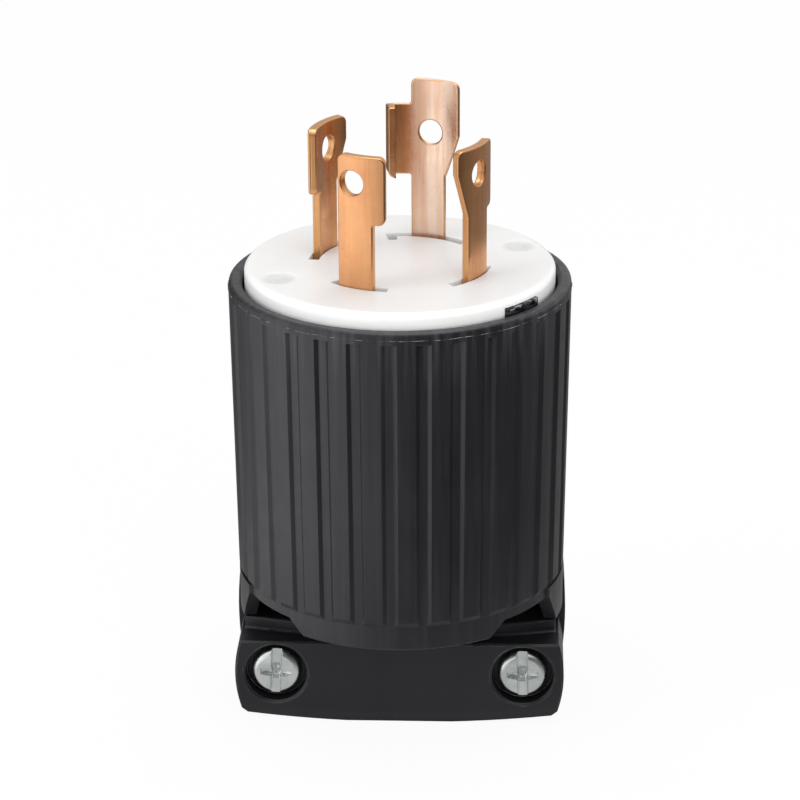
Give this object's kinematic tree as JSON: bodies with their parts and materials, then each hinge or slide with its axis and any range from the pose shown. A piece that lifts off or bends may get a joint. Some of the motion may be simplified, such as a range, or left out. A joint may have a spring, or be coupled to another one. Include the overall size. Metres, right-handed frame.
{
  "type": "locking power plug",
  "caption": "Ribbed black locking power plug, standing on its screw-down cord clamp, with a white face and hooked, pierced copper-coloured blades.",
  "frame": {"origin": "on the plug's axis, at the foot of its cord clamp", "axes": "+Z along the plug's axis towards the blades; the loose clamp jaw and its screw heads face -Y"},
  "size_m": [0.057, 0.057, 0.1062],
  "materials": {
    "black_nylon": "satin moulded black nylon",
    "white_nylon": "satin moulded white nylon",
    "block_nylon": "moulded dark nylon",
    "blade_copper": "stamped copper alloy",
    "plate_steel": "zinc-plated stamped steel",
    "zinc_steel": "bright zinc-plated steel",
    "screw_brass": "turned brass",
    "green_steel": "green-dyed zinc-plated steel"
  },
  "bodies": {
    "body": {"shell": "black_nylon", "face": "white_nylon", "terminal_block": "block_nylon", "clamp_nuts": "zinc_steel", "assembly_screws": "zinc_steel", "assembly_nuts": "screw_brass", "blade_ground": "blade_copper", "pressure_plate_ground": "plate_steel", "terminal_screw_ground": "green_steel", "blade_neutral": "blade_copper", "pressure_plate_neutral": "plate_steel", "terminal_screw_neutral": "zinc_steel", "blade_hot_x": "blade_copper", "pressure_plate_hot_x": "plate_steel", "terminal_screw_hot_x": "screw_brass", "blade_hot_y": "blade_copper", "pressure_plate_hot_y": "plate_steel", "terminal_screw_hot_y": "screw_brass"},
    "clamp_jaw": {"front_jaw": "black_nylon", "clamp_screws": "zinc_steel"}
  },
  "joints": [
    {"name": "clamp_opening", "type": "slide", "parent": "body", "child": "clamp_jaw", "axis": [0, -1, 0], "range_m": [0, 0.006]}
  ]
}
